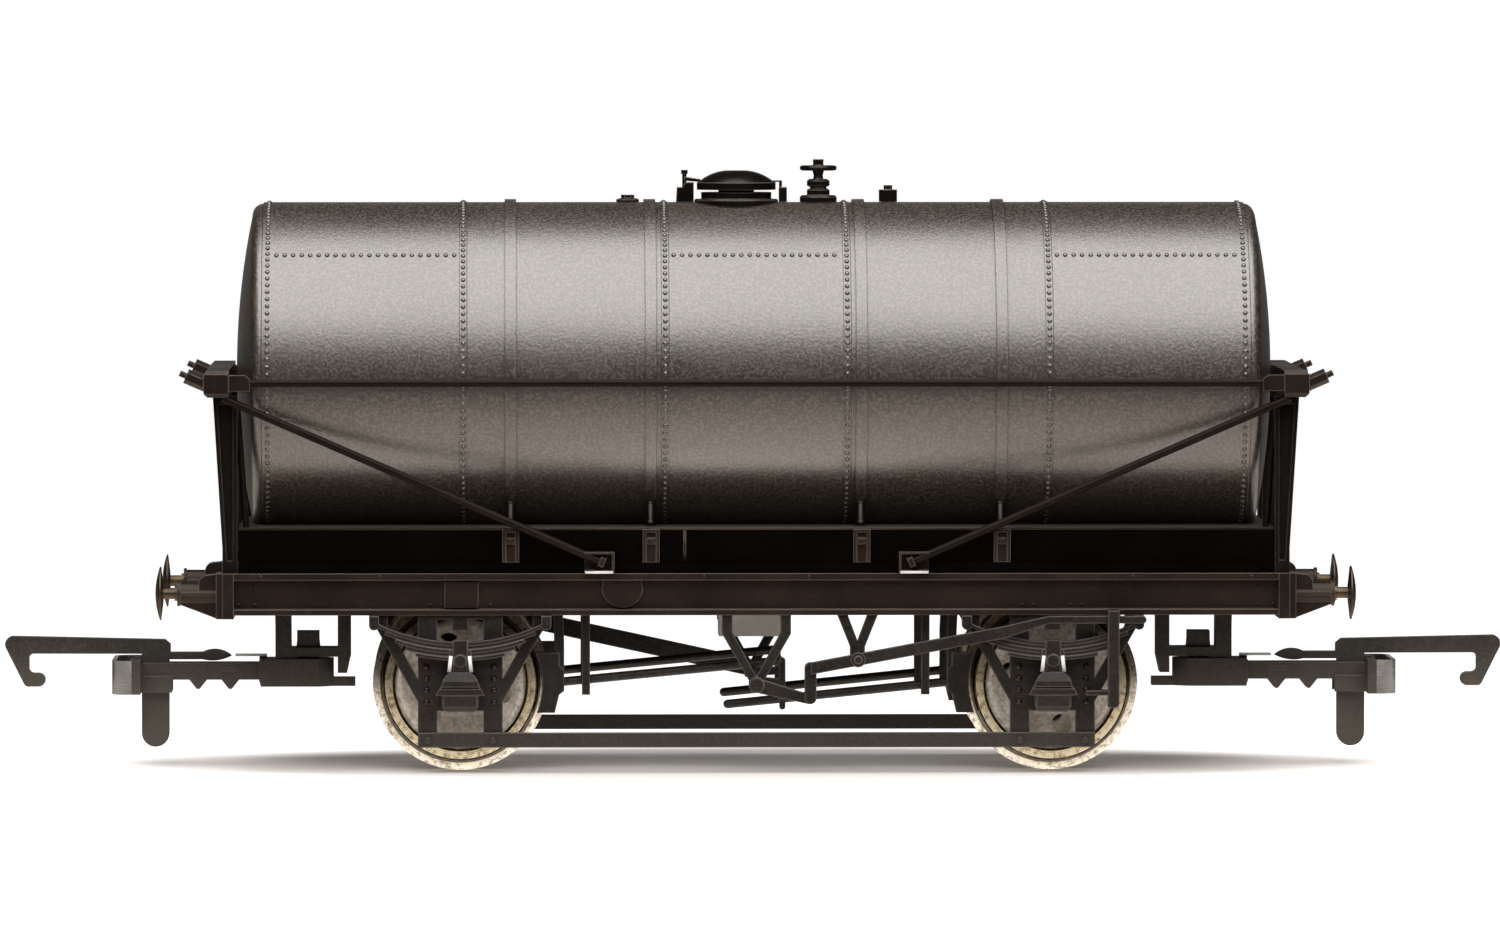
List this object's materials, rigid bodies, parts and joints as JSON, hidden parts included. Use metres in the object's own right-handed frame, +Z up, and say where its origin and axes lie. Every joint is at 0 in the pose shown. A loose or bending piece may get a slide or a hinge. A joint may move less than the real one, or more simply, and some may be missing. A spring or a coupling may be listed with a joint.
{
  "type": "model railway tank wagon",
  "caption": "Four-wheel tank wagon model for 16.5 mm gauge: riveted barrel on a cradle with stays, rolling wheelsets, swinging couplings with lifting hooks",
  "frame": {"origin": "on the floor under the middle of the wagon, at the wheel flanges' lowest line", "axes": "+X along the wagon towards one end, -Y the side with the hand lever at its right, +Z up"},
  "size_m": [0.1214, 0.0312, 0.0491],
  "materials": {
    "tank": "satin charcoal paint",
    "underframe": "matt brown-black plastic",
    "stay": "dark brown wire",
    "running_gear": "dark grey moulded plastic",
    "outlet": "light grey moulded plastic",
    "coupling": "matt dark grey plastic",
    "bright_steel": "bright bent strip",
    "tyre": "nickel-plated turned brass",
    "wheel_disc": "grey-beige moulded plastic",
    "buffer_head": "darkened turned metal"
  },
  "bodies": {
    "wagon": {"axleboxes_far": "running_gear", "axleboxes_near": "running_gear", "brake_shaft": "running_gear", "brake_shoes": "running_gear", "buffer_heads": "buffer_head", "buffer_housings": "underframe", "chassis_floor": "underframe", "coupling_mount_left": "coupling", "coupling_mount_right": "coupling", "cradle": "underframe", "diagonal_stays": "stay", "discharge_outlet": "outlet", "end_beam_left": "underframe", "end_beam_right": "underframe", "end_posts_left": "underframe", "end_posts_right": "underframe", "filler_plug": "tank", "filling_valve": "tank", "hand_levers": "running_gear", "headstock_left": "underframe", "headstock_right": "underframe", "lever_guards": "running_gear", "lever_links": "running_gear", "manhole_clamps": "tank", "manhole_lid": "tank", "manhole_neck": "tank", "push_rods": "running_gear", "safety_hangers": "running_gear", "side_stays": "stay", "solebar_far": "underframe", "solebar_near": "underframe", "springs_far": "running_gear", "springs_near": "running_gear", "stay_anchors": "underframe", "strap_brackets": "underframe", "tank_barrel": "tank", "tank_end_left": "tank", "tank_end_right": "tank", "tank_straps": "tank", "tie_bar_far": "running_gear", "tie_bar_near": "running_gear", "v_hangers": "running_gear", "valve_handwheel": "tank", "vent_pipe": "tank", "w_irons_far": "running_gear", "w_irons_near": "running_gear"},
    "wheelset_left": {"axle_left": "bright_steel", "tyres_left": "tyre", "wheel_discs_left": "wheel_disc"},
    "wheelset_right": {"axle_right": "bright_steel", "tyres_right": "tyre", "wheel_discs_right": "wheel_disc"},
    "coupling_left": {"coupling_arm_left": "coupling", "coupling_bow_left": "bright_steel", "coupling_leaf_left": "bright_steel"},
    "coupling_right": {"coupling_arm_right": "coupling", "coupling_bow_right": "bright_steel", "coupling_leaf_right": "bright_steel"},
    "hook_left": {"coupling_hook_left": "coupling"},
    "hook_right": {"coupling_hook_right": "coupling"}
  },
  "joints": [
    {"name": "wheelset_left_roll", "type": "hinge", "parent": "wagon", "child": "wheelset_left", "pos_m": [-0.02375, 0, 0.00705], "axis": [0, 1, 0], "continuous": true},
    {"name": "coupling_left_swing", "type": "hinge", "parent": "wagon", "child": "coupling_left", "pos_m": [-0.0361, 0, 0.00755], "axis": [0, 0, 1], "range_deg": [-10, 10]},
    {"name": "hook_left_lift", "type": "hinge", "parent": "coupling_left", "child": "hook_left", "pos_m": [-0.0483, 0, 0.0076], "axis": [0, 1, 0], "range_deg": [0, 20]},
    {"name": "wheelset_right_roll", "type": "hinge", "parent": "wagon", "child": "wheelset_right", "pos_m": [0.02375, 0, 0.00705], "axis": [0, 1, 0], "continuous": true},
    {"name": "coupling_right_swing", "type": "hinge", "parent": "wagon", "child": "coupling_right", "pos_m": [0.0361, 0, 0.00755], "axis": [0, 0, 1], "range_deg": [-10, 10]},
    {"name": "hook_right_lift", "type": "hinge", "parent": "coupling_right", "child": "hook_right", "pos_m": [0.0483, 0, 0.0076], "axis": [0, -1, 0], "range_deg": [0, 20]}
  ]
}
